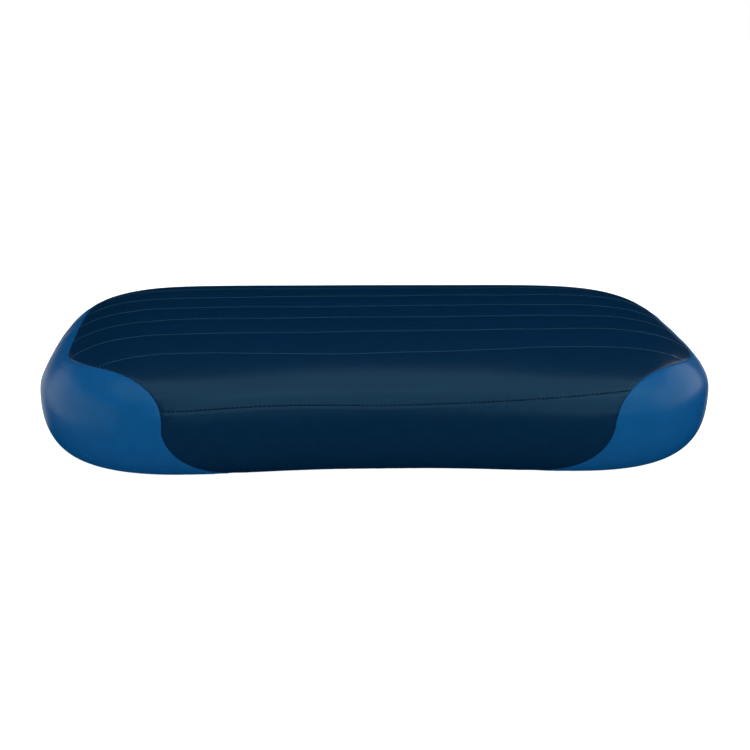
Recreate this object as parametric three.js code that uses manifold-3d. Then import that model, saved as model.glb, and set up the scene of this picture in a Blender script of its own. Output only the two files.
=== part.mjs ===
// Inflatable camp pillow. A knitted cover of six sewn panels holds an air bladder with lengthwise
// baffles, a layer of wadding lies under the quilted top panel, and a two-stage air valve comes out
// of the rear wall. Millimetres, +Z up. +X runs along the length, -Y is the scalloped neck side.
// The origin is on the floor, under the middle of the pillow's outer box.
import * as THREE from "three";
import { mergeVertices } from "three/addons/utils/BufferGeometryUtils.js";
import Module from "manifold-3d";

const wasm = await Module();
wasm.setup();

// ---- Driving dimensions of the pillow ----
const LENGTH = 560;
const FRONT_DEPTH = 170; // crest line to the neck side, at mid length
const SCALLOP = 26; // how far the two front lobes stand ahead of the middle
const REAR_DEPTH = 164; // crest line to the rear wall
const TOP_HEIGHT = 58; // widest level to the top
const BASE_HEIGHT = 54; // widest level to the floor
const FLATTENING = 1.5; // how much of the round underside is pressed flat by the floor
const SCALLOP_SPAN = [0.1, 0.75]; // where the lobes rise, as parts of the half length
const SECTION_POWER = { y: 3.2, z: 2.8 }; // superellipse powers of the cross-section
const END_ROUNDING = {
  // [power, root] of each half size as it shrinks towards the two ends
  front: [4.8, 2.2],
  rear: [8, 2.8],
  top: [9, 1.3],
  base: [12, 1.9],
};

// ---- Layers, as insets from the outer surface ----
const GAP = 0.4; // left between pieces that touch
const COVER = 1.2; // thickness of the knitted cover
const WADDING = { outer: COVER + GAP, innerSide: 3.6, innerTop: 6.6, seamMargin: 4 };
const FILM = 0.8; // thickness of the bladder's coated film
const BLADDER = { side: 5.4, top: 8.2, base: 2.8 };
const BAFFLE = {
  thickness: 0.8, clearance: 2.2, endMargin: 46, endSlant: 0.22,
  holeRadius: 14, holes: 3, holeSpread: 0.7, // the spread is a part of the half length
  roundedAt: [0.7, 0.86, 0.96, 1], // parts of the half length where the rounded ends have points
  scallopAt: [0.15, 0.35, 0.52], // and, ahead of the crest line, where the scallop shapes the edge
};

// ---- Seams and quilting, heights from the widest level ----
const MID_SEAM = { height: 20.6, slope: 0.035 }; // under the top panel, rising towards +X
const BASE_SEAM_HEIGHT = -45;
const QUILT = { lines: 7, spacing: 41.3, first: -128 };
// The end panel's seam on the +X side, seen from the front, as [x, height]: it leaves the base seam,
// turns up the lobe and runs out along the shoulder. The pulls are the Bezier handles in between.
const END_SEAM = {
  foot: [112, BASE_SEAM_HEIGHT], footPull: [145, -37],
  waistLowPull: [170.5, -15], waist: [170.5, 5], waistHighPull: [170.5, 22],
  shoulderPull: [180, 40], shoulder: [222, 40],
};

// ---- Grip patches under the base ----
const PATCH = { length: 44, width: 26, corner: 6, thickness: 0.6, x: 130, y: 38 };

// ---- Valve, radii from its axis and heights from the cover's outer surface ----
const VALVE = { x: 126, segments: 48, rodSegments: 24, coverGap: 0.7 };
const BASE_RING = { bore: 13.4, collar: 17, flange: 21, bottom: -7.4, flangeTop: -6.2, top: 3 };
const TETHER_RING = { inner: 17.4, outer: 19, bottom: 0.8, top: 2.4 };
const PLUG = {
  head: 17, headBottom: 3.4, headTop: 5.4, topRadius: 13, tipRadius: 11.5,
  bore: 9.5, floorTop: -4, floorBottom: -5.4, hubHole: 1.8,
  windows: 4, windowRadius: 2.1, windowReach: 5.6, windowTurn: 45,
};
const CAP = { disc: 12.5, bottom: 5.8, top: 7.6, spigotTop: 9.1, spigotTip: 8.7, tip: 2.2, wall: 1.6 };
const STEM = { radius: 1.4, button: 3.6, buttonTop: 1, buttonBottom: -0.6, end: -7.6 };
const FLAP = { radius: 9, top: -5.8, bottom: -6.6, stemGap: 0.3 };
const HINGE = {
  pin: 1.3, hole: 1.6, eye: 2.7, earInner: 4.3, earThickness: 1.6,
  post: 2.4, postSetback: 0.6, strap: 7, strapThickness: 1.2,
};
const PLUG_HINGE = { reach: 20.4, height: 4.2 };
const CAP_HINGE = { reach: 15.7, height: 6.8 };
const TAB = { width: 11, length: 5, thickness: 1.4 };
const LAP = 2; // how far a strap or tab runs into the lid that carries it

// ---- Materials ----
const material = (color, roughness) => new THREE.MeshStandardMaterial({ color, roughness, metalness: 0 });
const NAVY_KNIT = material(0x0b2b42, 0.85);
const BLUE_KNIT = material(0x064576, 0.85);
const WHITE_WADDING = material(0xe8e6e0, 0.95);
const FILM_TPU = material(0xb9c4ca, 0.5);
const HOOK_NAP = material(0x14181c, 0.9);
const VALVE_GREY = material(0x30363b, 0.5);
const CAP_BLUE = material(0x0a5a94, 0.45);
const SILICONE = material(0xd8dcdc, 0.4);

// ---- Helpers ----
function toSolid(geometry) {
  const bare = geometry.clone();
  bare.deleteAttribute("normal");
  bare.deleteAttribute("uv");
  const merged = mergeVertices(bare, 1e-4);
  return new wasm.Manifold(
    new wasm.Mesh({
      numProp: 3,
      vertProperties: new Float32Array(merged.attributes.position.array),
      triVerts: new Uint32Array(merged.index.array),
    }),
  );
}

function toGeometry(solid) {
  const mesh = solid.getMesh();
  const geometry = new THREE.BufferGeometry();
  geometry.setAttribute("position", new THREE.BufferAttribute(mesh.vertProperties, 3));
  geometry.setIndex(new THREE.BufferAttribute(mesh.triVerts, 1));
  geometry.computeVertexNormals();
  return geometry;
}

const box = (sx, sy, sz, x, y, z) => toSolid(new THREE.BoxGeometry(sx, sy, sz).translate(x, y, z));

const mesh = (name, solid, look) => {
  const made = new THREE.Mesh(toGeometry(solid), look);
  made.name = name;
  return made;
};

// ---- The pillow's outer form, shared by every layer ----
const smoothstep = (t, [from, to]) => {
  const s = Math.min(Math.max((t - from) / (to - from), 0), 1);
  return s * s * (3 - 2 * s);
};

const rounding = (t, [power, root]) => Math.max(1 - t ** power, 0) ** (1 / root);

// Half sizes of the cross-section at x, for a layer that lies `inset` inside the outer surface.
function halfSizes(x, inset) {
  const t = Math.min(Math.abs(x) / (LENGTH / 2 - inset.side), 1);
  const front = FRONT_DEPTH + SCALLOP * smoothstep(t, SCALLOP_SPAN) - inset.side;
  return {
    front: front * rounding(t, END_ROUNDING.front),
    rear: (REAR_DEPTH - inset.side) * rounding(t, END_ROUNDING.rear),
    top: (TOP_HEIGHT - inset.top) * rounding(t, END_ROUNDING.top),
    base: (BASE_HEIGHT + FLATTENING - inset.base) * rounding(t, END_ROUNDING.base),
  };
}

const evenInset = (d) => ({ side: d, top: d, base: d });
const signedPower = (v, p) => Math.sign(v) * Math.abs(v) ** p;

// A closed solid of the pillow's form: rings of points along X, closed by a point at each end.
function pillowSolid(inset, rings, spokes) {
  const halfLength = LENGTH / 2 - inset.side;
  const floor = -BASE_HEIGHT + inset.base;
  const points = [-halfLength, 0, 0];
  for (let i = 1; i < rings; i++) {
    const x = halfLength * Math.sin(Math.PI * (i / rings - 0.5));
    const half = halfSizes(x, inset);
    for (let k = 0; k < spokes; k++) {
      const angle = (2 * Math.PI * k) / spokes;
      const y = signedPower(Math.cos(angle), 2 / SECTION_POWER.y);
      const z = signedPower(Math.sin(angle), 2 / SECTION_POWER.z);
      const height = z > 0 ? z * half.top : z * half.base;
      points.push(x, y > 0 ? y * half.rear : y * half.front, Math.max(height, floor));
    }
  }
  points.push(halfLength, 0, 0);
  const last = points.length / 3 - 1;
  const faces = [];
  const at = (i, k) => 1 + (i - 1) * spokes + (k % spokes);
  for (let k = 0; k < spokes; k++) {
    faces.push(0, at(1, k + 1), at(1, k));
    faces.push(last, at(rings - 1, k), at(rings - 1, k + 1));
    for (let i = 1; i < rings - 1; i++) {
      faces.push(at(i, k), at(i, k + 1), at(i + 1, k + 1));
      faces.push(at(i, k), at(i + 1, k + 1), at(i + 1, k));
    }
  }
  const geometry = new THREE.BufferGeometry();
  geometry.setAttribute("position", new THREE.Float32BufferAttribute(points, 3));
  geometry.setIndex(faces);
  return toSolid(geometry);
}

// ---- Cutters that divide the cover into its panels ----
const FAR = 400;

// Everything above the mid seam's slanted plane, raised by `lift`.
function aboveMidSeam(lift) {
  const edge = (x) => MID_SEAM.height + MID_SEAM.slope * x + lift;
  const outline = new THREE.Shape();
  outline.moveTo(-FAR, edge(-FAR));
  outline.lineTo(FAR, edge(FAR));
  outline.lineTo(FAR, FAR);
  outline.lineTo(-FAR, FAR);
  return alongDepth(outline, 2 * FAR);
}

// The dark zone between the two end panels, seen from the front: the seam of an end panel comes in
// along the shoulder, turns down the front lobe and runs out into the base seam.
function darkZone(shrink) {
  const at = ([x, height]) => [x - shrink, height + shrink];
  const { foot, footPull, waistLowPull, waist, waistHighPull, shoulderPull, shoulder } = END_SEAM;
  const outline = new THREE.Shape();
  outline.moveTo(0, foot[1] + shrink);
  outline.lineTo(...at(foot));
  outline.bezierCurveTo(...at(footPull), ...at(waistLowPull), ...at(waist));
  outline.bezierCurveTo(...at(waistHighPull), ...at(shoulderPull), ...at(shoulder));
  outline.lineTo(FAR, shoulder[1] + shrink);
  outline.lineTo(FAR, FAR);
  outline.lineTo(0, FAR);
  const right = alongDepth(outline, 2 * FAR);
  return right.add(right.mirror([1, 0, 0]));
}

// Extrudes an outline drawn in X and Z along Y, centred on the crest line.
function alongDepth(outline, depth) {
  const geometry = new THREE.ExtrudeGeometry(outline, { depth, bevelEnabled: false, curveSegments: 6 });
  return toSolid(geometry.translate(0, 0, -depth / 2).rotateX(Math.PI / 2));
}

const slab = (from, to) => box(2 * FAR, 2 * FAR, to - from, 0, 0, (from + to) / 2);
const frontHalf = () => box(2 * FAR, FAR, 2 * FAR, 0, -FAR / 2, 0);
const rightHalf = () => box(FAR, 2 * FAR, 2 * FAR, FAR / 2, 0, 0);

// ---- Places ----
const RINGS = 22;
const SPOKES = 32;
const outerSolid = pillowSolid(evenInset(0), RINGS, SPOKES);
const valveDepth = REAR_DEPTH * rounding(VALVE.x / (LENGTH / 2), END_ROUNDING.rear);
const valvePlace = new THREE.Vector3(VALVE.x, valveDepth, 0);
const boxOfCover = outerSolid.boundingBox();
const outerRear = valveDepth + CAP_HINGE.height + HINGE.eye;
const origin = new THREE.Vector3(0, (boxOfCover.min[1] + outerRear) / 2, -BASE_HEIGHT);

const valveHole = (radius) =>
  toSolid(new THREE.CylinderGeometry(radius, radius, REAR_DEPTH / 2, VALVE.segments))
    .translate(valvePlace.toArray());

// ---- Cover ----
function coverPanels() {
  const shell = outerSolid.subtract(pillowSolid(evenInset(COVER), RINGS, SPOKES));
  const half = GAP / 2;
  const aboveBase = slab(BASE_SEAM_HEIGHT + half, FAR);
  const dark = shell.intersect(darkZone(half));
  const bands = dark.subtract(aboveMidSeam(-half));
  const ends = shell.subtract(darkZone(-half)).intersect(aboveBase);
  const base = shell.intersect(slab(-FAR, BASE_SEAM_HEIGHT - half)).subtract(patchPockets());
  const rearBand = bands.subtract(frontHalf()).subtract(valveHole(BASE_RING.collar + VALVE.coverGap));
  return [
    mesh("cover_top_panel", dark.intersect(aboveMidSeam(half)), NAVY_KNIT),
    mesh("cover_front_band", bands.intersect(frontHalf()), NAVY_KNIT),
    mesh("cover_rear_band", rearBand, NAVY_KNIT),
    mesh("cover_left_end_panel", ends.subtract(rightHalf()), BLUE_KNIT),
    mesh("cover_right_end_panel", ends.intersect(rightHalf()), BLUE_KNIT),
    mesh("cover_base_panel", base, BLUE_KNIT),
  ];
}

// ---- Grip patches, set flush into the underside ----
function patchSolid(grow, thickness) {
  const length = PATCH.length / 2 + grow;
  const width = PATCH.width / 2 + grow;
  const corner = PATCH.corner + grow;
  const outline = new THREE.Shape();
  outline.absarc(length - corner, width - corner, corner, 0, Math.PI / 2);
  outline.absarc(corner - length, width - corner, corner, Math.PI / 2, Math.PI);
  outline.absarc(corner - length, corner - width, corner, Math.PI, 1.5 * Math.PI);
  outline.absarc(length - corner, corner - width, corner, 1.5 * Math.PI, 2 * Math.PI);
  const options = { depth: thickness, bevelEnabled: false, curveSegments: 4 };
  return toSolid(new THREE.ExtrudeGeometry(outline, options));
}

const patchPlaces = [-1, 1].flatMap((sy) =>
  [-1, 1].map((sx) => [sx * PATCH.x, sy * PATCH.y + origin.y, -BASE_HEIGHT]),
);

function patchPockets() {
  const below = 1;
  const pocket = patchSolid(GAP, PATCH.thickness + GAP + below).translate([0, 0, -below]);
  return wasm.Manifold.union(patchPlaces.map((place) => pocket.translate(place)));
}

const gripPatches = () =>
  patchPlaces.map((place, i) =>
    mesh("grip_patch_" + (i + 1), patchSolid(0, PATCH.thickness).translate(place), HOOK_NAP),
  );

// ---- Wadding under the top panel ----
function topWadding() {
  const { outer: skin, innerSide, innerTop, seamMargin } = WADDING;
  const layer = pillowSolid(evenInset(skin), RINGS, SPOKES)
    .subtract(pillowSolid({ side: innerSide, top: innerTop, base: innerSide }, RINGS, SPOKES));
  const quilted = layer.intersect(darkZone(seamMargin)).intersect(aboveMidSeam(seamMargin));
  return mesh("top_wadding", quilted, WHITE_WADDING);
}

// ---- Air bladder: two welded films and the baffles between them ----
const FILM_RINGS = 16;
const FILM_SPOKES = 24;
const filmInset = (d) => ({ side: BLADDER.side + d, top: BLADDER.top + d, base: BLADDER.base + d });

function bladderFilms() {
  const film = pillowSolid(filmInset(0), FILM_RINGS, FILM_SPOKES)
    .subtract(pillowSolid(filmInset(FILM), FILM_RINGS, FILM_SPOKES))
    .subtract(valveHole(BASE_RING.flange + GAP));
  return [
    mesh("bladder_top_film", film.intersect(slab(MID_SEAM.height + GAP / 2, FAR)), FILM_TPU),
    mesh("bladder_base_film", film.intersect(slab(-FAR, MID_SEAM.height - GAP / 2)), FILM_TPU),
  ];
}

// Height of the bladder's inside, above or below the widest level, at x and y.
function insideHeight(x, y, side) {
  const half = halfSizes(x, filmInset(FILM + BAFFLE.clearance));
  const reach = y < 0 ? half.front : half.rear;
  const part = Math.max(1 - Math.abs(y / reach) ** SECTION_POWER.y, 0) ** (1 / SECTION_POWER.z);
  return side > 0 ? half.top * part : -half.base * part;
}

function baffles() {
  return Array.from({ length: QUILT.lines }, (_, i) => {
    const y = QUILT.first + i * QUILT.spacing;
    const span = LENGTH / 2 - BAFFLE.endMargin - Math.abs(y) * BAFFLE.endSlant;
    const parts = y < 0 ? [...BAFFLE.scallopAt, ...BAFFLE.roundedAt] : BAFFLE.roundedAt;
    const right = parts.map((t) => t * span);
    const along = [...right.toReversed().map((x) => -x), ...right];
    const outline = new THREE.Shape([
      ...along.map((x) => new THREE.Vector2(x, insideHeight(x, y, -1))),
      ...along.toReversed().map((x) => new THREE.Vector2(x, insideHeight(x, y, 1))),
    ]);
    for (let h = 0; h < BAFFLE.holes; h++) {
      const x = span * (h - (BAFFLE.holes - 1) / 2) * BAFFLE.holeSpread;
      outline.holes.push(new THREE.Path().absarc(x, 0, BAFFLE.holeRadius, 0, 2 * Math.PI));
    }
    const sheet = alongDepth(outline, BAFFLE.thickness).translate([0, y, 0]);
    return mesh("bladder_baffle_" + (i + 1), sheet, FILM_TPU);
  });
}

// ---- Valve, built round the Y axis with the open side towards +Y ----
function lathe(profile) {
  const outline = profile.map(([r, y]) => new THREE.Vector2(r, y));
  outline.push(outline[0].clone());
  return toSolid(new THREE.LatheGeometry(outline, VALVE.segments));
}

// A rod along X through the hinge's axis.
const hingeRod = (radius, length, place) =>
  toSolid(new THREE.CylinderGeometry(radius, radius, length, VALVE.rodSegments).rotateZ(Math.PI / 2))
    .translate([0, place.height, place.reach]);

// Two ears that hold a hinge pin, on a foot that reaches from `foot` up to the pin.
function hingeEars(place, foot) {
  const middle = HINGE.earInner + HINGE.earThickness / 2;
  const ears = [-1, 1].map((side) => {
    const eye = hingeRod(HINGE.eye, HINGE.earThickness, place);
    const rise = place.height - foot;
    const reach = place.reach - HINGE.postSetback;
    const post = box(HINGE.earThickness, rise, HINGE.post, 0, foot + rise / 2, reach);
    return eye.add(post).subtract(hingeRod(HINGE.hole, FAR, place)).translate([side * middle, 0, 0]);
  });
  return ears[0].add(ears[1]);
}

// The flexible strap from a lid's rim to its hinge, with the pin moulded on its end.
function hingeStrap(place, rim) {
  const length = place.reach - rim;
  const strap = box(HINGE.strap, HINGE.strapThickness, length, 0, place.height, rim + length / 2);
  return strap.add(hingeRod(HINGE.pin, 2 * (HINGE.earInner + HINGE.earThickness), place));
}

const fingerTab = (rim, height) =>
  box(TAB.width, TAB.thickness, TAB.length + LAP, 0, height, (LAP - TAB.length) / 2 - rim);

function valveBase() {
  const { bore, collar, flange, bottom, flangeTop, top } = BASE_RING;
  return lathe([
    [bore, bottom], [flange, bottom], [flange, flangeTop], [collar, flangeTop], [collar, top], [bore, top],
  ]);
}

function tetherRing() {
  const { inner, outer: rim, bottom, top } = TETHER_RING;
  const ring = lathe([[inner, bottom], [rim, bottom], [rim, top], [inner, top]]);
  return ring.add(hingeEars(PLUG_HINGE, bottom));
}

function deflatePlug() {
  const { head, headBottom, headTop, topRadius, tipRadius, bore, floorTop, floorBottom, windowRadius } = PLUG;
  const cup = lathe([
    [PLUG.hubHole, floorBottom], [tipRadius, floorBottom], [topRadius, headBottom], [head, headBottom],
    [head, headTop], [bore, headTop], [bore, floorTop], [PLUG.hubHole, floorTop],
  ]);
  const punch = new THREE.CylinderGeometry(windowRadius, windowRadius, PLUG.windowReach, VALVE.rodSegments);
  const windows = Array.from({ length: PLUG.windows }, (_, i) =>
    toSolid(punch)
      .translate([PLUG.windowReach, floorBottom, 0])
      .rotate([0, PLUG.windowTurn + (360 * i) / PLUG.windows, 0]),
  );
  const earsForCap = hingeEars(CAP_HINGE, (headBottom + headTop) / 2).rotate([0, 90, 0]);
  return cup
    .subtract(wasm.Manifold.union(windows))
    .add(hingeStrap(PLUG_HINGE, head - LAP))
    .add(fingerTab(head, (headBottom + headTop) / 2))
    .add(earsForCap);
}

function inflateCap() {
  const { disc, bottom, top, spigotTop, spigotTip, tip, wall } = CAP;
  const lid = lathe([
    [0, bottom], [spigotTip - wall, bottom], [spigotTip - wall, tip], [spigotTip, tip], [spigotTop, bottom],
    [disc, bottom], [disc, top], [0, top],
  ]);
  return lid
    .add(hingeStrap(CAP_HINGE, disc - LAP))
    .add(fingerTab(disc, CAP_HINGE.height))
    .rotate([0, 90, 0]);
}

function releaseButton() {
  const { radius, button, buttonTop, buttonBottom, end } = STEM;
  const stem = [[0, end], [radius, end], [radius, buttonBottom]];
  return lathe([...stem, [button, buttonBottom], [button, buttonTop], [0, buttonTop]]);
}

function flapDiaphragm() {
  const { radius, top, bottom, stemGap } = FLAP;
  const hole = STEM.radius + stemGap;
  return lathe([[hole, bottom], [radius, bottom], [radius, top], [hole, top]]);
}

function valve() {
  const group = new THREE.Group();
  group.position.copy(valvePlace);
  group.add(
    mesh("valve_base", valveBase(), VALVE_GREY),
    mesh("valve_tether_ring", tetherRing(), VALVE_GREY),
    mesh("deflate_plug", deflatePlug(), VALVE_GREY),
    mesh("inflate_cap", inflateCap(), CAP_BLUE),
    mesh("release_button", releaseButton(), CAP_BLUE),
    mesh("flap_diaphragm", flapDiaphragm(), SILICONE),
  );
  return group;
}

// ---- Assembly ----
const pillow = new THREE.Group();
pillow.add(...coverPanels(), topWadding(), ...bladderFilms(), ...baffles(), ...gripPatches(), valve());
pillow.position.copy(origin).negate();

const part = new THREE.Group();
part.add(pillow);
export default part;
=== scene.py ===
"""The looks of an inflatable camp pillow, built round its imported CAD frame.

Metres, in the CAD frame: +X along the length, -Y the scalloped neck side, +Z up, the floor at 0.
The cover starts as one closed form. A cloth simulation inflates it between its quilting lines.
It is then split along the seams into the cover's panels, and stitches and materials follow.
"""
import math
from itertools import chain

import bpy
import numpy as np
from mathutils import Matrix, Vector


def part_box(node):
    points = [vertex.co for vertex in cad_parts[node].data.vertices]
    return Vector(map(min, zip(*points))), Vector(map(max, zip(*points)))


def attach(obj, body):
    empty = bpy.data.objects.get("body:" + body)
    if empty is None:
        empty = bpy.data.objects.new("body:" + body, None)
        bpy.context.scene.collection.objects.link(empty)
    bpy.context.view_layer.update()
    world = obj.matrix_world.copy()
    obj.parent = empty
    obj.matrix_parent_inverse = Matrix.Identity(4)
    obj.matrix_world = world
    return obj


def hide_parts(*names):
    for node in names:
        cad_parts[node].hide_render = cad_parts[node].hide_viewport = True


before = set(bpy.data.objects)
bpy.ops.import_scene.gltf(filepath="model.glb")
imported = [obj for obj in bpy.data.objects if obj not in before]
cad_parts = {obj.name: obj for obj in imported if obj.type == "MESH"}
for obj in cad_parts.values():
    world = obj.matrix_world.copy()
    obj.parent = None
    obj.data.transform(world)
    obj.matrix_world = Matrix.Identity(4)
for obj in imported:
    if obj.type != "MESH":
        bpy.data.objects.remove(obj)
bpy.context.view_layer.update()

# ---- The pillow's form, as in the CAD model ----
FRONT_DEPTH = 0.170  # crest line to the neck side, at mid length
SCALLOP = 0.026  # how far the two front lobes stand ahead of the middle
SCALLOP_SPAN = (0.1, 0.75)  # where the lobes rise, as parts of the half length
REAR_DEPTH = 0.164
TOP_HEIGHT = 0.058  # widest level to the top
BASE_HEIGHT = 0.054  # widest level to the floor
FLATTENING = 0.0015
POWER_Y = 3.2  # superellipse powers of the cross-section
POWER_Z = 2.8
ROUNDING = {"front": (4.8, 2.2), "rear": (8, 2.8), "top": (9, 1.3), "base": (12, 1.9)}

COVER_NODES = [
    "cover_top_panel", "cover_front_band", "cover_rear_band",
    "cover_left_end_panel", "cover_right_end_panel", "cover_base_panel",
]
cover_low = np.min([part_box(n)[0] for n in COVER_NODES], axis=0)
cover_high = np.max([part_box(n)[1] for n in COVER_NODES], axis=0)
HALF_LENGTH = (cover_high[0] - cover_low[0]) / 2
CREST_Y = cover_high[1] - REAR_DEPTH
WIDEST_Z = cover_low[2] + BASE_HEIGHT

# ---- Seams and quilting ----
MID_SEAM_HEIGHT = WIDEST_Z + 0.0228
MID_SEAM_SLOPE = 0.035
MID_SEAM_SAG = 0.0066  # the seam hangs lowest a little to the right of the middle
MID_SEAM_SAG_X = 0.03
BASE_SEAM_HEIGHT = WIDEST_Z - 0.045
QUILT_LINES = 7
QUILT_SPACING = 0.0413
QUILT_FIRST = CREST_Y - 0.128
QUILT_SKEW = 0.029  # the lines run a little off the length of the pillow
COVER_SHIFT = 0.0015  # and the cover sits a little off centre
LEAN = 0.09  # the inflated front leans a little towards +X as it rises
LEAN_START = (0.08, 0.13)  # how far ahead of the crest that starts to fade, left and right of the middle
LEAN_FADE = 0.09
CORNER_DIP = 0.004  # the end seams dip where they turn from the lobe to the pillow's end
CORNER_Y = CREST_Y - 0.088
CORNER_REACH = 0.035
SEAM_SLIT = 0.00003  # half the slit between two sewn panels
SNAP = 2e-5  # a point this near a cut is on it
SEAM_BANDS = (0.0007, 0.0018, 0.0042, 0.009)  # where edges run beside a seam
QUILT_BANDS = (0.0007, 0.0018, 0.0042, 0.0085)

# ---- Mesh ----
RINGS = 241
UPPER_SPOKES = 186
LOWER_SPOKES = 102
SPOKES = UPPER_SPOKES + LOWER_SPOKES
SECTION_SAMPLES = 1500  # points by which half a cross-section is measured
COARSE = 3  # the simulation takes every third ring and spoke
CLOTH = 0.0009  # thickness of the knit
EDGE_ROUNDING = 0.0002  # of the moulded pieces


def rounding(t, which):
    power, root = ROUNDING[which]
    return np.maximum(1 - t**power, 0) ** (1 / root)


def smoothstep(v, low, high):
    s = np.clip((v - low) / (high - low), 0, 1)
    return s * s * (3 - 2 * s)


def bell(away, reach):
    """1 at a line and falling smoothly to nothing a few reaches away from it."""
    return np.exp(-((away / reach) ** 2))


def half_sizes(x):
    """Front, rear, top and base half sizes of the cross-section at x."""
    t = np.minimum(np.abs(x) / HALF_LENGTH, 1)
    front = (FRONT_DEPTH + SCALLOP * smoothstep(t, *SCALLOP_SPAN)) * rounding(t, "front")
    rear = REAR_DEPTH * rounding(t, "rear")
    top = TOP_HEIGHT * rounding(t, "top")
    base = (BASE_HEIGHT + FLATTENING) * rounding(t, "base")
    return front, rear, top, base


def section(x):
    """Points round the cross-section at x, evenly spaced along its upper and its lower part."""
    front, rear, top, base = half_sizes(x)
    halves = []
    for start, count, height in ((0, UPPER_SPOKES, top), (math.pi, LOWER_SPOKES, -base)):
        angle = np.linspace(start, start + math.pi, SECTION_SAMPLES)
        c = np.cos(angle)
        s = np.sin(angle)
        y = np.where(c > 0, rear, -front) * np.abs(c) ** (2 / POWER_Y)
        z = np.maximum(height * np.abs(s) ** (2 / POWER_Z), -BASE_HEIGHT)
        length = np.concatenate([[0], np.cumsum(np.hypot(np.diff(y), np.diff(z)))])
        at = np.linspace(0, length[-1], count + 1)[:-1]
        halves.append(np.stack([np.interp(at, length, y), np.interp(at, length, z)], axis=1))
    yz = np.concatenate(halves)
    return np.column_stack([np.full(SPOKES, x), yz[:, 0] + CREST_Y, yz[:, 1] + WIDEST_Z])


def grid_normals(points):
    """Outward unit normals of a grid of rings and spokes."""
    along = np.gradient(points, axis=0)
    round_it = np.roll(points, -1, axis=1) - np.roll(points, 1, axis=1)
    normal = np.cross(round_it, along)
    size = np.linalg.norm(normal, axis=2, keepdims=True)
    return normal / np.maximum(size, 1e-12)


def form_grid():
    step = np.arange(1, RINGS + 1) / (RINGS + 1)
    xs = HALF_LENGTH * np.sin(math.pi * (step - 0.5))
    points = np.array([section(x) for x in xs])
    return points, grid_normals(points)


# ---- Seam lines, as signed distances over the surface ----
def end_seam_curve():
    """The end panel's seam for x > 0, seen from the front: (x, z) along the base, lobe and shoulder."""
    def curve(a, b, c, d):
        t = np.linspace(0, 1, 24)[:, None]
        return (1 - t) ** 3 * a + 3 * (1 - t) ** 2 * t * b + 3 * (1 - t) * t**2 * c + t**3 * d

    foot = np.array([0.112, -0.045])
    waist = np.array([0.1705, 0.005])
    shoulder = np.array([0.222, 0.040])
    lower = curve(foot, np.array([0.145, -0.037]), np.array([0.1705, -0.015]), waist)
    upper = curve(waist, np.array([0.1705, 0.022]), np.array([0.180, 0.040]), shoulder)
    middle = np.array([[-0.4, foot[1]]])
    outside = np.array([[0.5, shoulder[1]]])
    return np.concatenate([middle, lower, upper[1:], outside]) + [0, WIDEST_Z]


END_SEAM = end_seam_curve()


def end_seam_distance(p):
    """Signed distance in XZ to the end seams, positive on the dark side."""
    dip = CORNER_DIP * bell(p[:, 1] - CORNER_Y, CORNER_REACH)
    rise = CORNER_DIP / 2 * smoothstep(p[:, 1], CORNER_Y, CORNER_Y + 3 * CORNER_REACH)
    q = np.column_stack([np.abs(p[:, 0] - COVER_SHIFT), p[:, 2] + dip - rise])
    best = np.full(len(q), np.inf)
    signed = np.zeros(len(q))
    for a, b in zip(END_SEAM[:-1], END_SEAM[1:]):
        d = b - a
        length = np.hypot(*d)
        t = np.clip(((q - a) @ d) / length**2, 0, 1)
        off = q - (a + t[:, None] * d)
        dist = np.hypot(off[:, 0], off[:, 1])
        side = d[0] * (q[:, 1] - a[1]) - d[1] * (q[:, 0] - a[0])
        nearer = dist < best - 1e-12
        best = np.where(nearer, dist, best)
        signed = np.where(nearer, np.sign(side) * dist, signed)
    return signed


def on_surface(signed, gradient, normal):
    """Turns a distance in space into one along the surface."""
    along = gradient - (gradient * normal).sum(axis=1, keepdims=True) * normal
    return signed / np.maximum(np.linalg.norm(along, axis=1), 0.25)


def end_seam(p, n):
    signed = end_seam_distance(p)
    step = 1e-5
    gx = (end_seam_distance(p + [step, 0, 0]) - signed) / step
    gz = (end_seam_distance(p + [0, 0, step]) - signed) / step
    return on_surface(signed, np.column_stack([gx, np.zeros(len(p)), gz]), n)


def mid_seam(p, n):
    sag = MID_SEAM_SAG * (1 - smoothstep(np.abs(p[:, 0] - MID_SEAM_SAG_X), 0.01, 0.16))
    signed = p[:, 2] - MID_SEAM_HEIGHT - MID_SEAM_SLOPE * p[:, 0] + sag
    return on_surface(signed, np.array([[-MID_SEAM_SLOPE, 0, 1.0]]), n)


def base_seam(p, n):
    return on_surface(p[:, 2] - BASE_SEAM_HEIGHT, np.array([[0, 0, 1.0]]), n)


def quilt_line_y(line, x):
    """Where a quilting line runs: straight, with the slight wander of a line sewn by hand."""
    wander = 0.0005 * np.sin(x * 23 + line * 1.7) + 0.0003 * np.sin(x * 61 + line * 2.9)
    return QUILT_FIRST + line * QUILT_SPACING + QUILT_SKEW * x + wander


def quilt_line(line, p, n):
    return on_surface(p[:, 1] - quilt_line_y(line, p[:, 0]), np.array([[0, 1.0, 0]]), n)


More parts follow.
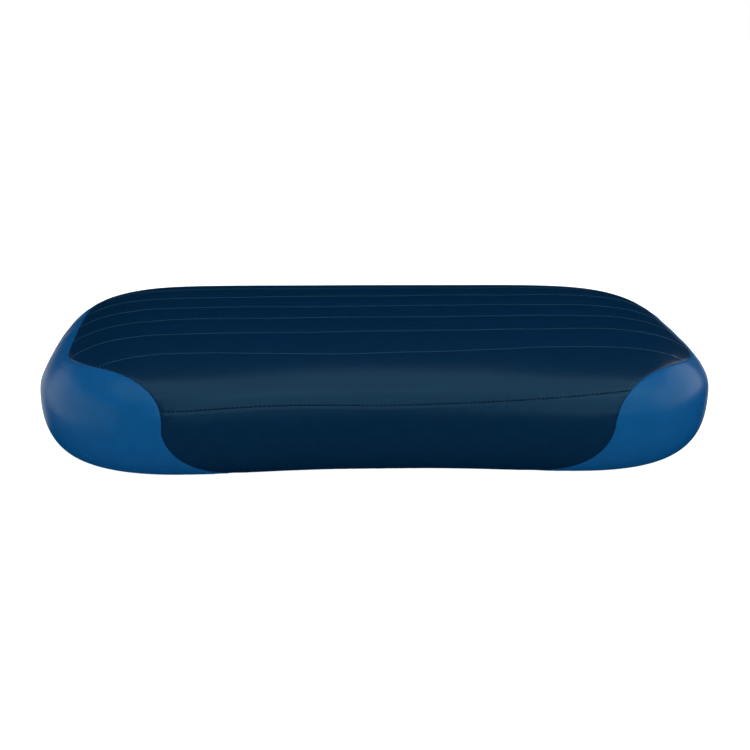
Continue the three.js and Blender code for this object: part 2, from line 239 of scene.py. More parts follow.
# ---- The cover as arrays: rows of values at points, and faces as lists of row numbers ----
class Knit:
    """A piece of the cover before sewing: rows of place, normal, simulated shift and seam distances."""

    def __init__(self, rows, faces):
        self.rows = rows
        self.faces = faces

    point = property(lambda self: self.rows[:, 0:3])
    normal = property(lambda self: self.rows[:, 3:6])
    shift = property(lambda self: self.rows[:, 6:9])
    end = property(lambda self: self.rows[:, 9])
    mid = property(lambda self: self.rows[:, 10])
    base = property(lambda self: self.rows[:, 11])

    def corners(self):
        """Every face's row numbers in one array, and where each face starts in it."""
        sizes = np.fromiter(map(len, self.faces), int, len(self.faces))
        flat = np.fromiter(chain.from_iterable(self.faces), int, sizes.sum())
        return flat, np.concatenate([[0], np.cumsum(sizes)[:-1]]), sizes

    def split(self, value, allowed=None):
        """Cuts the faces along value == 0, apart from those with a corner that isn't allowed."""
        value = np.where(np.abs(value) < SNAP, 0, value)
        flat, starts, _ = self.corners()
        at_corner = value[flat]
        lowest = np.minimum.reduceat(at_corner, starts)
        highest = np.maximum.reduceat(at_corner, starts)
        crossing = (lowest < 0) & (highest > 0)
        if allowed is not None:
            crossing &= np.logical_and.reduceat(allowed[flat], starts)
        new = {}
        halves = []
        for number in np.flatnonzero(crossing):
            face = self.faces[number]
            low, high = [], []
            for a, b in zip(face, face[1:] + face[:1]):
                if value[a] <= 0:
                    low.append(a)
                if value[a] >= 0:
                    high.append(a)
                if value[a] * value[b] < 0:
                    made = new.setdefault((min(a, b), max(a, b)), len(self.rows) + len(new))
                    low.append(made)
                    high.append(made)
            self.faces[number] = low
            halves.append(high)
        if new:
            first, second = np.array(list(new)).T
            t = (value[first] / (value[first] - value[second]))[:, None]
            self.rows = np.concatenate([self.rows, self.rows[first] * (1 - t) + self.rows[second] * t])
            self.faces = [f for f in self.faces + halves if len(f) > 2]

    def part(self, keep):
        """The faces whose mean row satisfies keep, with their own rows."""
        flat, starts, sizes = self.corners()
        middles = Knit(np.add.reduceat(self.rows[flat], starts) / sizes[:, None], [])
        chosen = [self.faces[i] for i in np.flatnonzero(keep(middles))]
        used, index = np.unique(list(chain.from_iterable(chosen)), return_inverse=True)
        renumbered = iter(index.tolist())
        faces = [[next(renumbered) for _ in face] for face in chosen]
        return Knit(self.rows[used], faces)


def grid_faces(rings, spokes):
    last = (rings - 1) * spokes
    faces = [[k for k in reversed(range(spokes))], [last + k for k in range(spokes)]]
    for i in range(rings - 1):
        for k in range(spokes):
            l = (k + 1) % spokes
            faces.append([i * spokes + k, i * spokes + l, (i + 1) * spokes + l, (i + 1) * spokes + k])
    return faces


# ---- Inflating the cover ----
PUFF = 0.0010  # how far the cover rises between two lines that hold it
FLOOR_HOLD = 0.004  # how far the hold of the floor, a quilting line and a seam reaches
QUILT_HOLD = 0.0045
SEAM_HOLD = 0.006
MID_SEAM_GRIP = 0.6  # the mid seam holds less firmly than the others
CLOTH_FRAMES = 20
PRESSURE = 25


def hold(p, n):
    """How firmly each point is held: 1 on a quilting line, a seam or the floor, and 0 between."""
    held = bell(p[:, 2] - cover_low[2], FLOOR_HOLD)
    on_top = (n[:, 2] > 0.2) & (p[:, 2] > MID_SEAM_HEIGHT)
    for line in range(QUILT_LINES):
        away = p[:, 1] - quilt_line_y(line, p[:, 0])
        held = np.maximum(held, np.where(on_top, bell(away, QUILT_HOLD), 0))
    end = end_seam(p, n)
    held = np.maximum(held, bell(end, SEAM_HOLD))
    return np.maximum(held, np.where(end > 0, MID_SEAM_GRIP * bell(mid_seam(p, n), SEAM_HOLD), 0))


def simulate(points, normals):
    """Inflates a coarse copy of the form with Blender's cloth and returns how far each point moved."""
    p = points[::COARSE, ::COARSE]
    n = normals[::COARSE, ::COARSE]
    shape = p.shape[:2]
    p = p.reshape(-1, 3)
    n = n.reshape(-1, 3)
    held = hold(p, n)
    start = p - n * (PUFF * (1 - held))[:, None]
    data = bpy.data.meshes.new("inflating")
    data.from_pydata(start.tolist(), [], grid_faces(*shape))
    obj = bpy.data.objects.new("inflating", data)
    bpy.context.collection.objects.link(obj)
    group = obj.vertex_groups.new(name="held")
    for i, weight in enumerate(held):
        group.add([i], float(weight), "REPLACE")
    cloth = obj.modifiers.new("cloth", "CLOTH")
    settings = cloth.settings
    settings.quality = 6
    settings.mass = 0.12
    settings.tension_stiffness = 12
    settings.compression_stiffness = 12
    settings.shear_stiffness = 4
    settings.bending_stiffness = 0.4
    settings.vertex_group_mass = "held"
    settings.pin_stiffness = 1.5
    settings.use_pressure = True
    settings.uniform_pressure_force = PRESSURE
    settings.effector_weights.gravity = 0
    cloth.point_cache.frame_start = 1
    cloth.point_cache.frame_end = CLOTH_FRAMES
    for number in range(1, CLOTH_FRAMES + 1):
        bpy.context.scene.frame_set(number)
    ready = obj.evaluated_get(bpy.context.evaluated_depsgraph_get())
    moved = np.empty(len(p) * 3)
    ready.data.vertices.foreach_get("co", moved)
    bpy.data.objects.remove(obj)
    bpy.context.scene.frame_set(1)
    shift = moved.reshape(-1, 3) - p
    outward = np.clip((shift * n).sum(axis=1), -PUFF / 2, PUFF)
    return (n * outward[:, None]).reshape(*shape, 3)


def refine(coarse):
    """Spreads values on every third ring and spoke over the whole grid, smoothly."""
    rings = np.arange(RINGS) / COARSE
    i = np.minimum(rings.astype(int), coarse.shape[0] - 2)
    a = np.minimum(rings - i, 1)[:, None, None]
    rows = coarse[i] * (1 - a) + coarse[i + 1] * a
    spokes = np.arange(SPOKES) / COARSE
    k = spokes.astype(int)
    b = (spokes - k)[None, :, None]
    full = rows[:, k] * (1 - b) + rows[:, (k + 1) % coarse.shape[1]] * b
    for _ in range(3):
        full = (np.roll(full, 1, axis=1) + 2 * full + np.roll(full, -1, axis=1)) / 4
        full[1:-1] = (full[:-2] + 2 * full[1:-1] + full[2:]) / 4
    return full


# ---- Fine relief: seams, quilting and the puckers that sewing leaves ----
def wave(x, length, phase=0.0):
    return np.sin(x * (2 * math.pi / length) + phase)


def pucker(x, away, reach, phase):
    """Small gathers across a sewn line, strongest beside it."""
    ripple = wave(x, 0.0093, phase)
    ripple += 0.7 * wave(x, 0.0141, 1.3 * phase)
    ripple += 0.5 * wave(x, 0.0061, 2.1 * phase)
    strength = 0.5 + 0.5 * wave(x, 0.117, phase)
    return ripple * strength * bell(away, reach)


def crease(away, depth, width):
    return -depth * np.exp(-np.abs(away) / width)


def quilt_relief(knit, line):
    """The groove of one quilting line, with its gathers. It fades towards the end seams."""
    away = quilt_line(line, knit.point, knit.normal)
    groove = crease(away, 0.00035, 0.0010) - 0.0003 * bell(away, 0.005)
    gathers = 0.00009 * pucker(knit.point[:, 0], away, 0.006, 0.9 + line * 1.1)
    fade = 0.35 + 0.65 * np.clip(knit.end / 0.006, 0, 1)
    return np.where(np.abs(away) < 0.03, (groove + gathers) * fade, 0)


def end_seam_relief(knit):
    """A narrow crease in a wide one, with gathers."""
    gathers = 0.00012 * pucker(knit.point[:, 1] + knit.point[:, 2], knit.end, 0.009, 0.4)
    return crease(knit.end, 0.00028, 0.0009) + crease(knit.end, 0.0003, 0.004) + gathers


def mid_seam_relief(knit):
    """A faint crease with a low lip just below it, and gathers."""
    lip = 0.00018 * bell(knit.mid + 0.0022, 0.0013)
    gathers = 0.00016 * pucker(knit.point[:, 0], knit.mid, 0.012, 2.2)
    return crease(knit.mid, 0.00006, 0.0006) + lip + gathers


def base_seam_relief(knit):
    """A crease, with gathers above it only."""
    gathers = 0.00008 * pucker(knit.point[:, 0] + knit.point[:, 1], knit.base, 0.008, 3.1)
    return crease(knit.base, 0.0005, 0.0012) + np.where(knit.base > 0, gathers, 0)


def valve_relief(p):
    """The edge of the valve's opening: a rolled rim inside a pressed ring where its stitches run."""
    away = valve_distance(p)
    rim = 0.0007 * bell(away - VALVE_RIM_RADIUS, 0.0011)
    ring = 0.0004 * bell(away - VALVE_STITCH_RADIUS, 0.0009)
    return rim - ring


def relief(knit):
    """How far the finished cover stands above the simulated form, along the normal."""
    on_dark = knit.end > 0
    quilted = on_dark & (knit.mid > 0) & (knit.normal[:, 2] > 0.15)
    height = end_seam_relief(knit) + base_seam_relief(knit) + valve_relief(knit.point)
    height += np.where(on_dark, mid_seam_relief(knit), 0)
    for line in range(QUILT_LINES):
        height += np.where(quilted, quilt_relief(knit, line), 0)
    return height


def lean(p):
    """How far the front of the pillow leans towards +X: its upper half, and its lower half at that end."""
    lift = p[:, 2] - WIDEST_Z
    left, right = LEAN_START
    fades_at = CREST_Y - left - (right - left) * smoothstep(p[:, 0], -0.12, 0.12)
    in_front = 1 - smoothstep(p[:, 1], fades_at, fades_at + LEAN_FADE)
    taking_part = np.where(lift > 0, 1, smoothstep(p[:, 0], 0.12, 0.24))
    return LEAN * lift * in_front * taking_part


def finished(knit):
    """Where the points of a piece lie once it is inflated and sewn, and their normals."""
    n = knit.normal / np.linalg.norm(knit.normal, axis=1, keepdims=True)
    p = knit.point + knit.shift + n * relief(knit)[:, None]
    p[:, 0] += lean(p)
    p[:, 2] = np.maximum(p[:, 2], floor_under(p))
    return p, n


PATCHES = [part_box(f"grip_patch_{i}") for i in (1, 2, 3, 4)]
PATCH_TOP = PATCHES[0][1][2]
PATCH_GAP = 0.0002
FLOOR_GAP = 0.0001


def floor_under(p):
    """The height of what the cover rests on: the floor, or a grip patch."""
    height = np.full(len(p), FLOOR_GAP)
    for low, high in PATCHES:
        outside = np.maximum(np.array(low)[:2] - p[:, :2], p[:, :2] - np.array(high)[:2])
        away = outside.max(axis=1)
        height = np.maximum(height, (PATCH_TOP + PATCH_GAP) * (1 - smoothstep(away, 0.0005, 0.006)))
    return height


# ---- The cover's panels ----
def cover_form():
    points, normals = form_grid()
    coarse = simulate(points, normals)
    p, n, shift = (a.reshape(-1, 3) for a in (points, normals, refine(coarse)))
    knit = Knit(np.column_stack([p, n, shift, end_seam(p, n), mid_seam(p, n), base_seam(p, n)]),
                grid_faces(RINGS, SPOKES))
    levels = [side * width for width in (SEAM_SLIT, *SEAM_BANDS) for side in (-1, 1)]
    for level in levels:
        knit.split(knit.end - level)
    for level in levels:
        knit.split(knit.mid - level, knit.end > -SEAM_BANDS[0])
        knit.split(knit.base - level)
    for line in range(QUILT_LINES):
        for level in (0, *[side * width for width in QUILT_BANDS for side in (-1, 1)]):
            on_top = (knit.normal[:, 2] > 0.1) & (knit.mid > -SEAM_BANDS[0]) & (knit.end > -SEAM_BANDS[0])
            knit.split(quilt_line(line, knit.point, knit.normal) - level, on_top)
    for radius in VALVE_RINGS:
        knit.split(valve_distance(knit.point) - radius)
    return knit


VALVE_LOW, VALVE_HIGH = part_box("valve_base")
VALVE_X = (VALVE_LOW[0] + VALVE_HIGH[0]) / 2
VALVE_Z = (VALVE_LOW[2] + VALVE_HIGH[2]) / 2
VALVE_HOLE = 0.0177
VALVE_RIM_RADIUS = 0.0193
VALVE_STITCH_RADIUS = 0.0218
VALVE_RINGS = (  # radii at which edges run round the valve
    VALVE_HOLE, 0.0185, VALVE_RIM_RADIUS, 0.0202, 0.0210, VALVE_STITCH_RADIUS, 0.0226, 0.0237, 0.027,
)


def valve_distance(p):
    """Distance from the valve's axis, which runs along Y behind the crest."""
    away = np.hypot(p[:, 0] - VALVE_X, p[:, 2] - VALVE_Z)
    return np.where(p[:, 1] > CREST_Y + REAR_DEPTH / 2, away, 1.0)


def sewn_in(value):
    return value > SEAM_SLIT * 0.9


def dark(knit):
    return sewn_in(knit.end)


def band(knit, side):
    here = side * (knit.point[:, 1] - CREST_Y) > 0
    return dark(knit) & sewn_in(-knit.mid) & sewn_in(knit.base) & here


def end_panel(knit, side):
    return sewn_in(-knit.end) & sewn_in(knit.base) & (side * knit.point[:, 0] > 0)


PANELS = {
    "top_panel": lambda knit: dark(knit) & sewn_in(knit.mid),
    "front_band": lambda knit: band(knit, -1),
    "rear_band": lambda knit: band(knit, 1) & (valve_distance(knit.point) > VALVE_HOLE),
    "left_end_panel": lambda knit: end_panel(knit, -1),
    "right_end_panel": lambda knit: end_panel(knit, 1),
    "base_panel": lambda knit: sewn_in(-knit.base),
}


def add_mesh(name, points, faces, look, body="pillow"):
    data = bpy.data.meshes.new(name)
    data.from_pydata([tuple(p) for p in points], [], faces)
    data.validate()
    data.update()
    data.shade_smooth()
    data.materials.append(look)
    obj = bpy.data.objects.new(name, data)
    bpy.context.collection.objects.link(obj)
    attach(obj, body)
    return obj


def cover_panels(cover):
    for name, keep in PANELS.items():
        knit = cover.part(keep)
        points, _ = finished(knit)
        dark_one = name in ("top_panel", "front_band", "rear_band")
        look, slot = (NAVY, "navy_knit") if dark_one else (BLUE, "blue_knit")
        panel = add_mesh("knit_" + name, points, knit.faces, look)
        thicken(panel, CLOTH)
        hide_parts("cover_" + name)


def thicken(piece, thickness):
    """Gives a sheet its thickness, inwards."""
    solid = piece.modifiers.new("thickness", "SOLIDIFY")
    solid.thickness = thickness
    solid.offset = -1


# ---- Materials ----
class Nodes:
    """Adds shader nodes to a material and links them."""

    def __init__(self, name):
        self.material = bpy.data.materials.new(name)
        self.material.use_nodes = True
        self.tree = self.material.node_tree
        self.shader = self.tree.nodes["Principled BSDF"]
        self.place = self.add("ShaderNodeTexCoord").outputs["Object"]

    def add(self, kind, **values):
        node = self.tree.nodes.new(kind)
        for key, value in values.items():
            if hasattr(node, key):
                setattr(node, key, value)
            else:
                node.inputs[key].default_value = value
        return node

    def link(self, source, target):
        self.tree.links.new(source, target)

    def noise(self, size, detail):
        node = self.add("ShaderNodeTexNoise", Scale=1 / size, Detail=detail)
        self.link(self.place, node.inputs["Vector"])
        return node.outputs["Fac"]

    def waves(self, period, direction, distortion):
        node = self.add("ShaderNodeTexWave", wave_type="BANDS", bands_direction=direction)
        node.inputs["Scale"].default_value = 2 * math.pi / (20 * period)
        node.inputs["Distortion"].default_value = distortion
        self.link(self.place, node.inputs["Vector"])
        return node.outputs["Fac"]

    def math(self, operation, a, b):
        node = self.add("ShaderNodeMath", operation=operation)
        for socket, value in zip(node.inputs, (a, b)):
            if isinstance(value, (int, float)):
                socket.default_value = value
            else:
                self.link(value, socket)
        return node.outputs[0]

    def ramp(self, value, stops):
        node = self.add("ShaderNodeValToRGB")
        for element, (position, color) in zip(node.color_ramp.elements, stops):
            element.position = position
            element.color = (*color, 1)
        self.link(value, node.inputs["Fac"])
        return node.outputs["Color"]

    def bump(self, height, strength, distance, under=None):
        node = self.add("ShaderNodeBump")
        node.inputs["Strength"].default_value = strength
        node.inputs["Distance"].default_value = distance
        self.link(height, node.inputs["Height"])
        if under is not None:
            self.link(under, node.inputs["Normal"])
        return node.outputs["Normal"]


def brushed_knit(name, low, high, gloss, gloss_tint, across_wales="X"):
    """Brushed stretch knit: fine wales, a short nap and a soft gloss."""
    n = Nodes(name)
    wales = n.waves(0.0011, across_wales, 0.6)
    courses = n.waves(0.0013, "DIAGONAL", 0.8)
    nap = n.noise(0.0006, 4)
    cloud = n.noise(0.011, 4)
    yarn = n.math("MULTIPLY", n.math("ADD", wales, courses), 0.25)
    grain = n.math("ADD", yarn, n.math("MULTIPLY", nap, 0.5))
    mixed = n.math("ADD", n.math("MULTIPLY", grain, 0.6), n.math("MULTIPLY", cloud, 0.4))
    color = n.ramp(mixed, [(0.35, low), (0.68, high)])
    n.link(color, n.shader.inputs["Base Color"])
    rough = n.math("ADD", n.math("MULTIPLY", nap, 0.08), 0.25)
    n.link(rough, n.shader.inputs["Roughness"])
    fine = n.bump(grain, 0.18, 0.0002)
    soft = n.bump(cloud, 0.10, 0.0010, fine)
    n.link(soft, n.shader.inputs["Normal"])
    n.shader.inputs["Specular IOR Level"].default_value = gloss
    n.shader.inputs["Specular Tint"].default_value = (*gloss_tint, 1)
    return n.material


def thread(name, color):
    n = Nodes(name)
    twist = n.waves(0.0005, "DIAGONAL", 0.4)
    shade = n.ramp(twist, [(0.0, [c * 0.7 for c in color]), (1.0, color)])
    n.link(shade, n.shader.inputs["Base Color"])
    n.link(n.bump(twist, 0.4, 0.0001), n.shader.inputs["Normal"])
    n.shader.inputs["Roughness"].default_value = 0.6
    n.shader.inputs["Specular IOR Level"].default_value = 0.2
    return n.material


def moulded(name, low, high, rough):
    """Moulded polymer: a faint mottle, a fine grain and slightly uneven gloss."""
    n = Nodes(name)
    mottle = n.noise(0.004, 4)
    grain = n.noise(0.0004, 2)
    n.link(n.ramp(mottle, [(0.3, low), (0.7, high)]), n.shader.inputs["Base Color"])
    n.link(n.math("ADD", n.math("MULTIPLY", grain, 0.15), rough), n.shader.inputs["Roughness"])
    n.link(n.bump(grain, 0.15, 0.0001), n.shader.inputs["Normal"])
    return n.material


def hook_nap(name):
    """Short stiff hooks on a woven tape."""
    n = Nodes(name)
    hooks = n.add("ShaderNodeTexVoronoi", Scale=900)
    n.link(n.place, hooks.inputs["Vector"])
    spots = hooks.outputs["Distance"]
    color = n.ramp(spots, [(0.0, (0.02, 0.023, 0.028)), (0.6, (0.004, 0.005, 0.006))])
    n.link(color, n.shader.inputs["Base Color"])
    n.link(n.bump(spots, 0.8, 0.0006), n.shader.inputs["Normal"])
    n.shader.inputs["Roughness"].default_value = 0.85
    return n.material


NAVY_SHADES = ((0.0001, 0.0106, 0.0325), (0.0003, 0.0137, 0.0415))
BLUE_SHADES = ((0.0001, 0.0500, 0.1550), (0.0003, 0.0630, 0.1960))
WADDING_SHADES = ((0.55, 0.54, 0.50), (0.80, 0.79, 0.75))
NAVY = brushed_knit("navy knit", *NAVY_SHADES, 0.40, (0.33, 0.80, 1.0))
BLUE = brushed_knit("blue knit", *BLUE_SHADES, 0.18, (0.60, 1.0, 0.50), "Z")
LIGHT_THREAD = thread("quilting thread", (0.016, 0.080, 0.130))
# The mid seam's thread is set near black, darker than the navy knit. It is a real thread, but its colour
# is painted shade for the shadowed needle holes between the stitches.
SEAM_THREAD_HOLE_SHADE = thread("seam thread with painted hole shade", (0.0003, 0.004, 0.013))
WADDING = brushed_knit("wadding", *WADDING_SHADES, 0.1, (1.0, 1.0, 1.0))
FILM = moulded("coated film", (0.40, 0.47, 0.51), (0.50, 0.57, 0.61), 0.35)
VALVE = moulded("valve grey", (0.030, 0.036, 0.043), (0.040, 0.047, 0.056), 0.42)
CAP = moulded("cap blue", (0.005, 0.090, 0.26), (0.008, 0.115, 0.31), 0.40)
SILICONE = moulded("silicone", (0.62, 0.65, 0.65), (0.70, 0.73, 0.73), 0.35)
HOOKS = hook_nap("hook nap")


def dress(names, look):
    for name in names:
        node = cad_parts[name]
        node.data.materials.clear()
        node.data.materials.append(look)


def round_edges(names):
    """Rounds the edges of moulded CAD pieces and shades them smoothly."""
    for name in names:
        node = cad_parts[name]
        node.data.shade_smooth()
        flat = node.modifiers.new("flat faces", "DECIMATE")
        flat.decimate_type = "DISSOLVE"
        flat.angle_limit = math.radians(0.5)
        bevel = node.modifiers.new("rounded edges", "BEVEL")
        bevel.width = EDGE_ROUNDING
        bevel.segments = 3
        bevel.limit_method = "ANGLE"
        bevel.angle_limit = math.radians(35)
        bevel.harden_normals = True


# ---- Stitches ----
def line_points(cover, value, keep):
    """The finished points where value is 0, in order of x, with their normals."""
    chosen = Knit(cover.rows[(np.abs(value) < SNAP) & keep], [])
    points, normals = finished(chosen)
    order = np.argsort(points[:, 0], kind="stable")
    return points[order], normals[order]


STITCH_PROFILE = [(-0.5, 0.35), (-0.36, 0.9), (0, 1), (0.36, 0.9), (0.5, 0.35)]  # place, share of radius
STITCH_SIDES = 6
QUILT_STITCH = {"pitch": 0.0027, "length": 0.0017, "radius": 0.00028, "rise": 0.0003}
SEAM_STITCH = {"pitch": 0.0034, "length": 0.0014, "radius": 0.00040, "rise": 0.0001}
VALVE_STITCH = {"pitch": 0.0026, "length": 0.0020, "radius": 0.00026, "rise": 0.0003}


def stitch(middle, forward, up, length, radius, rise):
    """Rings of points of one rounded stitch."""
    across = np.cross(up, forward)
    rings = []
    for place, size in STITCH_PROFILE:
        centre = middle + forward * place * length + up * rise * (1 - (2 * place) ** 2)
        for k in range(STITCH_SIDES):
            turn = 2 * math.pi * k / STITCH_SIDES
            rings.append(centre + (across * math.cos(turn) + up * math.sin(turn)) * radius * size)
    return rings


def tube_faces(rings, sides, first):
    """Faces of a closed tube whose rings of points start at row `first`."""
    last = first + (rings - 1) * sides
    faces = [[first + k for k in reversed(range(sides))], [last + k for k in range(sides)]]
    for j in range(rings - 1):
        a = first + j * sides
        for k in range(sides):
            l = (k + 1) % sides
            faces.append([a + k, a + l, a + sides + l, a + sides + k])
    return faces


def sew(name, points, normals, look, pitch, length, radius, rise):
    """One mesh of stitches laid along a line of points."""
    along = np.concatenate([[0], np.cumsum(np.linalg.norm(np.diff(points, axis=0), axis=1))])

    def at(distance, values):
        return np.array([np.interp(distance, along, values[:, c]) for c in range(3)])

    verts, faces = [], []
    for middle in np.arange(pitch, along[-1] - pitch, pitch):
        start, stop = at(middle - length / 2, points), at(middle + length / 2, points)
        forward = (stop - start) / np.linalg.norm(stop - start)
        up = at(middle, normals)
        up -= forward * (up @ forward)
        up /= np.linalg.norm(up)
        faces += tube_faces(len(STITCH_PROFILE), STITCH_SIDES, len(verts))
        verts += stitch((start + stop) / 2, forward, up, length, radius, rise)
    add_mesh(name, verts, faces, look)


def quilt_stitches(cover):
    on_top = (cover.normal[:, 2] > 0.12) & sewn_in(cover.end) & sewn_in(cover.mid)
    for line in range(QUILT_LINES):
        run = line_points(cover, quilt_line(line, cover.point, cover.normal), on_top)
        sew(f"quilt_stitches_{line + 1}", *run, LIGHT_THREAD, **QUILT_STITCH)


def mid_seam_stitches(cover):
    for name, side in (("front", -1), ("rear", 1)):
        keep = (side * (cover.point[:, 1] - CREST_Y) > 0) & sewn_in(cover.end)
        run = line_points(cover, cover.mid - SEAM_BANDS[0], keep)
        # These stitches carry painted shade: their near-black thread stands for the shadowed needle holes
        # along the seam.
        sew(f"{name}_seam_stitches", *run, SEAM_THREAD_HOLE_SHADE, **SEAM_STITCH)


def valve_stitches(cover):
    """A ring of stitches round the valve's opening, closed by running a little past its start."""
    ring = Knit(cover.rows[np.abs(valve_distance(cover.point) - VALVE_STITCH_RADIUS) < SNAP], [])
    points, normals = finished(ring)
    turn = np.arctan2(points[:, 2] - VALVE_Z, points[:, 0] - VALVE_X)
    order = np.argsort(turn, kind="stable")
    order = np.concatenate([order, order[: len(order) // 20]])
    sew("valve_stitches", points[order], normals[order], LIGHT_THREAD, **VALVE_STITCH)


# ---- Raised details of the moulded lids ----
VALVE_Y = VALVE_HIGH[1] - 0.003  # the cover's surface, which the collar stands above
CAP_TOP = VALVE_Y + 0.0076  # the cap's and the plug's outer faces
PLUG_TOP = VALVE_Y + 0.0054
TAB_STEP = 0.0001  # how far the cap's tab lies below the cap's face
TAB_RIB_PITCH = 0.0014
TAB_RIB_LENGTH = 0.0085
TAB_RIB_RADIUS = 0.0004
RING_FOOT = 0.0002  # how deep a raised ring is rooted in its lid


def raised_ring(name, radius, half_width, rise, level, look, body):
    """A low ring with a rounded top, moulded on a lid that faces +Y."""
    arc = np.linspace(0, math.pi, 9)
    profile = [(radius + half_width * math.cos(t), rise * math.sin(t)) for t in arc]
    profile += [(radius - half_width, -RING_FOOT), (radius + half_width, -RING_FOOT)]
    verts, faces = [], []
    sides = len(profile)
    turns = 96
    for k in range(turns):
        a = 2 * math.pi * k / turns
        verts += [(VALVE_X + r * math.cos(a), level + h, VALVE_Z + r * math.sin(a)) for r, h in profile]
        after = (k + 1) % turns * sides
        for j in range(sides):
            l = (j + 1) % sides
            faces.append([k * sides + j, k * sides + l, after + l, after + j])
    add_mesh(name, verts, faces, look, body)


def tab_ribs(name, middle, across, outward, level, look, body):
    """Three finger ribs on a lid's tab, one behind the other in the direction `outward`."""
    verts, faces = [], []
    up = np.array([0.0, 1.0, 0.0])
    for place in (-TAB_RIB_PITCH, 0, TAB_RIB_PITCH):
        faces += tube_faces(len(STITCH_PROFILE), STITCH_SIDES, len(verts))
        centre = np.array(middle) + np.array(outward) * place
        centre[1] = level
        verts += stitch(centre, np.array(across), up, TAB_RIB_LENGTH, TAB_RIB_RADIUS, 0)
    add_mesh(name, verts, faces, look, body)


def lid_details():
    raised_ring("cap_rim", 0.0116, 0.0007, 0.0006, CAP_TOP, CAP, "cap")
    raised_ring("cap_centre_ring", 0.0034, 0.0005, 0.0003, CAP_TOP, CAP, "cap")
    raised_ring("plug_rim", 0.0161, 0.0006, 0.0005, PLUG_TOP, VALVE, "plug")
    cap_tab = (VALVE_X - 0.0152, 0, VALVE_Z)
    tab_ribs("cap_tab_ribs", cap_tab, (0, 0, 1.0), (1.0, 0, 0), CAP_TOP - TAB_STEP, CAP, "cap")
    plug_tab = (VALVE_X, 0, VALVE_Z - 0.0197)
    level = PLUG_TOP - 3 * TAB_STEP
    tab_ribs("plug_tab_ribs", plug_tab, (1.0, 0, 0), (0, 0, 1.0), level, VALVE, "plug")


# ---- Wadding under the top panel, quilted with it ----
WADDING_GAP = 0.0003
WADDING_THICKNESS = 0.0035


def quilted_wadding(cover):
    edge = SEAM_BANDS[-1]
    knit = cover.part(lambda k: (k.end > edge) & (k.mid > edge))
    points, normals = finished(knit)
    points = points - normals * (CLOTH + WADDING_GAP)
    layer = add_mesh("quilted_wadding", points, knit.faces, WADDING)
    thicken(layer, WADDING_THICKNESS)
    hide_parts("top_wadding")


# ---- Studio ----
CAMERA_DISTANCE = 1.344
CAMERA_ELEVATION = math.radians(14.75)
CAMERA_YAW = math.radians(-3.5)
CAMERA_ROLL = math.radians(0.56)
CAMERA_LENS = 74.9  # millimetres on a 36 mm sensor


def camera():
    a, e = CAMERA_YAW, CAMERA_ELEVATION
    back = Vector((math.sin(a) * math.cos(e), -math.cos(a) * math.cos(e), math.sin(e)))
    right = Vector((math.cos(a), math.sin(a), 0))
    up = back.cross(right)
    r = CAMERA_ROLL
    across = right * math.cos(r) + up * math.sin(r)
    upward = up * math.cos(r) - right * math.sin(r)
    data = bpy.data.cameras.new("camera")
    data.sensor_width = 36
    data.lens = CAMERA_LENS
    data.shift_x = 0.0021
    data.shift_y = -0.0062
    obj = bpy.data.objects.new("camera", data)
    turn = Matrix((across, upward, back)).transposed().to_4x4()
    target = Vector((0, CREST_Y, WIDEST_Z))
    obj.matrix_world = Matrix.Translation(target + back * CAMERA_DISTANCE) @ turn
    bpy.context.collection.objects.link(obj)
    bpy.context.scene.camera = obj


AIM = Vector((0, 0, 0.06))  # what the lamps point at
SOFTBOX_DISTANCE = 1.7
EVEN_LIGHT_DISTANCE = 2.0


def area_lamp(name, away, distance, size, radiance):
    """A rectangle of light that faces the pillow from `away`."""
    data = bpy.data.lights.new(name, "AREA")
    data.shape = "RECTANGLE"
    data.size, data.size_y = size
    data.energy = radiance * math.pi * size[0] * size[1]
    lamp = bpy.data.objects.new(name, data)
    lamp.location = AIM + away * distance
    lamp.rotation_euler = away.to_track_quat("Z", "Y").to_euler()
    bpy.context.collection.objects.link(lamp)
    return lamp


def softbox(name, azimuth, elevation, size, radiance):
    """A softbox. Azimuth is from the front (-Y) towards +X, in degrees."""
    a, e = math.radians(azimuth), math.radians(elevation)
    away = Vector((math.sin(a) * math.cos(e), -math.cos(a) * math.cos(e), math.sin(e)))
    return area_lamp(name, away, SOFTBOX_DISTANCE, size, radiance)


def even_light(radiance):
    """Six panels round the pillow, one to each side. They light it evenly and show in no reflection."""
    for axis in range(3):
        for side in (-1, 1):
            away = Vector((0, 0, 0))
            away[axis] = side
            size = (2 * EVEN_LIGHT_DISTANCE, 2 * EVEN_LIGHT_DISTANCE)
            panel = area_lamp("even light", away, EVEN_LIGHT_DISTANCE, size, radiance)
            panel.visible_glossy = False
            panel.visible_camera = False


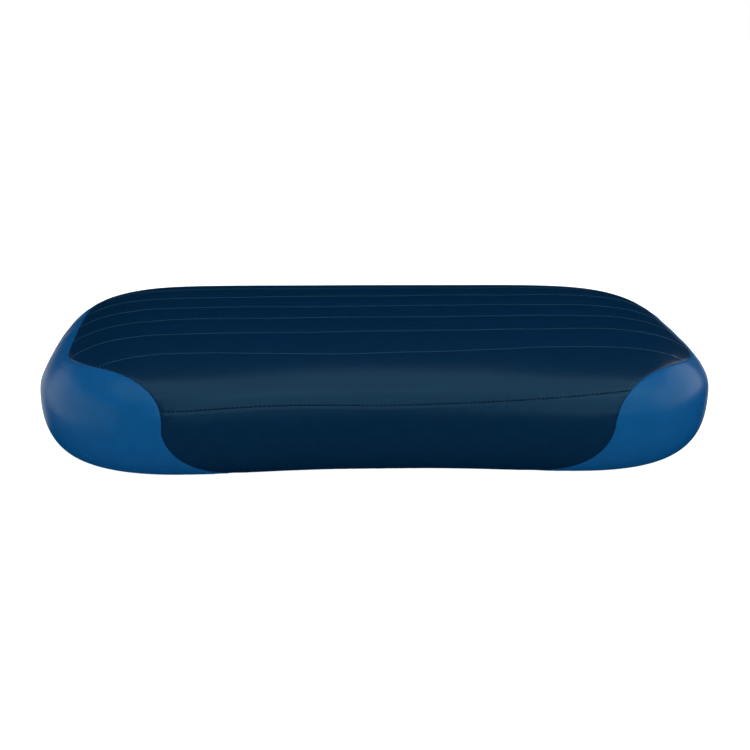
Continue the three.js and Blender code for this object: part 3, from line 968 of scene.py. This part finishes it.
def paper_floor():
    """A white floor that glows a little, so that it stays white to the horizon."""
    look = Nodes("paper floor")
    tone = look.ramp(look.noise(0.5, 2), [(0.3, (0.28, 0.28, 0.28)), (0.7, (0.32, 0.32, 0.32))])
    look.link(tone, look.shader.inputs["Base Color"])
    look.shader.inputs["Roughness"].default_value = 0.9
    look.shader.inputs["Specular IOR Level"].default_value = 0.0
    look.shader.inputs["Emission Color"].default_value = (1, 1, 1, 1)
    look.shader.inputs["Emission Strength"].default_value = 1.0
    bpy.ops.mesh.primitive_plane_add(size=60)
    floor = bpy.context.object
    floor.name = "floor"
    floor.data.materials.append(look.material)
    floor.visible_diffuse = False
    floor.visible_glossy = False
    floor.visible_shadow = False


def studio():
    scene = bpy.context.scene
    scene.view_settings.view_transform = "Standard"
    world = bpy.data.worlds.new("studio")
    scene.world = world
    world.use_nodes = True
    world.node_tree.nodes["Background"].inputs["Color"].default_value = (1, 1, 1, 1)
    world.node_tree.nodes["Background"].inputs["Strength"].default_value = 1.0
    world.cycles_visibility.diffuse = False
    world.cycles_visibility.glossy = False
    even_light(0.92)  # radiances, like each softbox's last value
    paper_floor()
    softbox("front", 29, 30, (3.2, 1.6), 0.76)
    softbox("top", -2, 73, (3.5, 1.56), 0.86)
    softbox("left", -98, 3, (2.9, 1.05), 0.66)
    softbox("right", 98, 16, (2.0, 1.3), 1.10)
    rear = softbox("rear", 180, 40, (1.6, 1.0), 1.2)
    rear.visible_glossy = False
    softbox("rear low", 180, -14, (2.4, 0.5), 0.7)


# ---- Building ----
camera()
studio()
cover = cover_form()
cover_panels(cover)
quilted_wadding(cover)
quilt_stitches(cover)
mid_seam_stitches(cover)
valve_stitches(cover)
lid_details()
round_edges(["valve_base", "valve_tether_ring", "deflate_plug", "inflate_cap", "release_button"])
dress([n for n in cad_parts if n.startswith("bladder_")], FILM)
dress([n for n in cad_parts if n.startswith("grip_patch")], HOOKS)
dress(["valve_base", "valve_tether_ring", "deflate_plug"], VALVE)
dress(["inflate_cap", "release_button"], CAP)
dress(["flap_diaphragm"], SILICONE)
